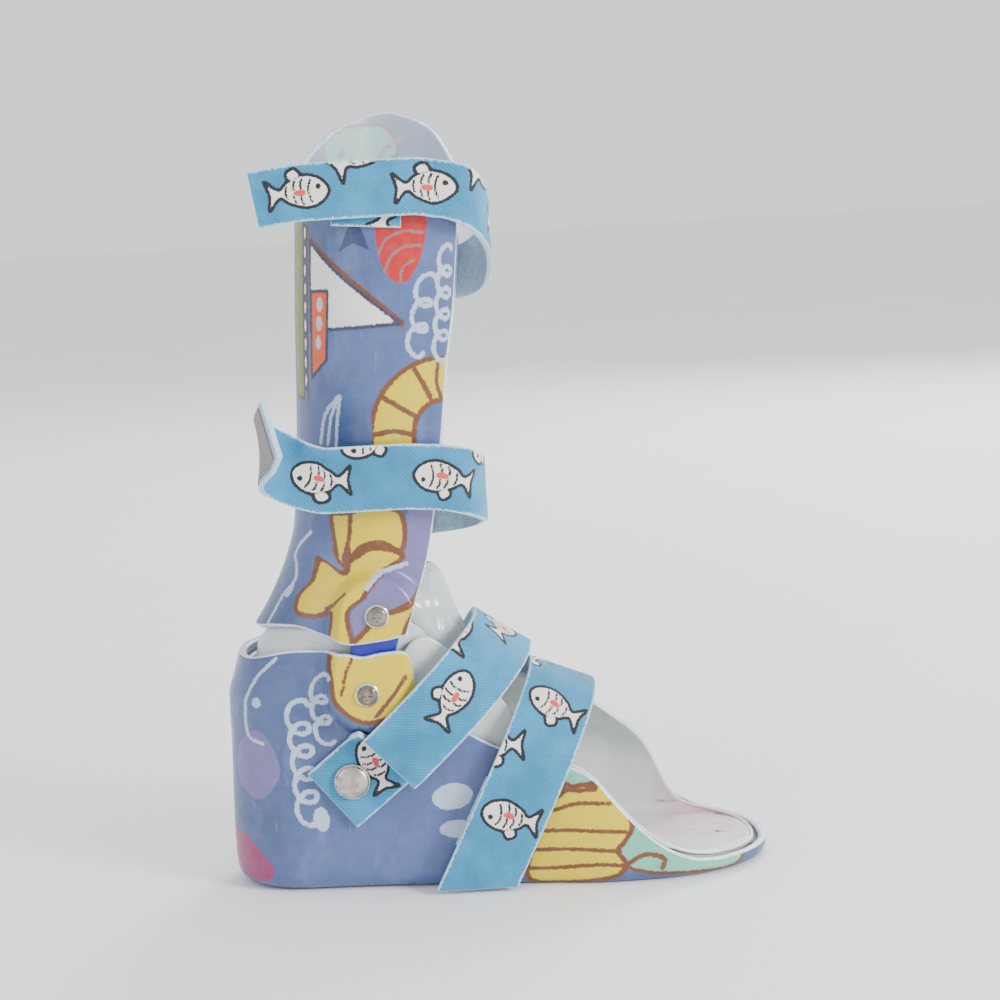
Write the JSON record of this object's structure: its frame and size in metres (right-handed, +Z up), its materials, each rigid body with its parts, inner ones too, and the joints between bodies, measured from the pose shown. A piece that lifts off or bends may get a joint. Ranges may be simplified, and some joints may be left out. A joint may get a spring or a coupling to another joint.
{
  "type": "ankle foot orthosis",
  "caption": "Child's hinged ankle foot orthosis for the right foot: printed foot and calf shells on ankle flexures, a soft inner boot and hook-and-loop straps that open.",
  "frame": {"origin": "on the flat sole, under the centre of the heel", "axes": "+X towards the toes, +Y towards the inner (medial) side of the right foot, +Z up the leg"},
  "size_m": [0.216, 0.1188, 0.306],
  "materials": {
    "printed_shell": "polypropylene with a colourful transfer print, satin gloss",
    "soft_boot": "milky soft polyethylene, satin",
    "clear_tongue": "translucent soft sheet, glossy, with soft folds",
    "flexure": "dark blue polyurethane, satin",
    "screw_steel": "polished",
    "nut_steel": "plain",
    "rivet_metal": "domed cap, worn satin",
    "printed_strap": "printed loop fabric on foam, fine diagonal weave",
    "hook_pad": "ribbed hook tape"
  },
  "bodies": {
    "foot": {"foot_shell": "printed_shell", "boot_liner": "soft_boot", "boot_tongue": "clear_tongue", "flexure_lateral": "flexure", "flexure_medial": "flexure", "foot_joint_screws": "screw_steel", "foot_cup_washers": "screw_steel", "foot_joint_nuts": "nut_steel", "instep_strap_band": "printed_strap", "instep_hook_tab": "printed_strap", "instep_tab_rivet": "rivet_metal", "instep_strap_rivet": "rivet_metal", "forefoot_strap_band": "printed_strap", "forefoot_hook_tab": "printed_strap", "forefoot_rivets": "rivet_metal"},
    "calf": {"calf_shell": "printed_shell", "boot_cuff": "soft_boot", "calf_joint_screws": "screw_steel", "calf_cup_washers": "screw_steel", "calf_joint_nuts": "nut_steel", "top_strap_band": "printed_strap", "top_hook_tab": "printed_strap", "top_strap_rivets": "rivet_metal", "mid_strap_band": "printed_strap", "mid_hook_tab": "printed_strap", "mid_strap_rivets": "rivet_metal"},
    "top_flap": {"top_strap_flap": "printed_strap", "top_flap_hooks": "hook_pad"},
    "mid_flap": {"mid_strap_flap": "printed_strap", "mid_flap_hooks": "hook_pad"},
    "instep_flap": {"instep_strap_flap": "printed_strap", "instep_flap_hooks": "hook_pad"},
    "forefoot_flap": {"forefoot_strap_flap": "printed_strap", "forefoot_flap_hooks": "hook_pad"}
  },
  "joints": [
    {"name": "ankle", "type": "hinge", "parent": "foot", "child": "calf", "pos_m": [0.037, 0, 0.097], "axis": [0, 1, 0], "range_deg": [-8, 15], "stiffness_Nm_per_rad": 2, "deforming": ["flexure_lateral", "flexure_medial"]},
    {"name": "top_open", "type": "hinge", "parent": "calf", "child": "top_flap", "pos_m": [0.06914, -0.04714, 0.274], "axis": [0, 0, 1], "range_deg": [0, 110]},
    {"name": "mid_open", "type": "hinge", "parent": "calf", "child": "mid_flap", "pos_m": [0.05748, -0.04265, 0.166], "axis": [0, 0, 1], "range_deg": [0, 110]},
    {"name": "instep_open", "type": "hinge", "parent": "foot", "child": "instep_flap", "pos_m": [0.07122, -0.03838, 0.08214], "axis": [-0.682, 0, 0.7314], "range_deg": [0, 100]},
    {"name": "forefoot_open", "type": "hinge", "parent": "foot", "child": "forefoot_flap", "pos_m": [0.09991, -0.03331, 0.05664], "axis": [-0.891, 0, 0.454], "range_deg": [0, 100]}
  ]
}
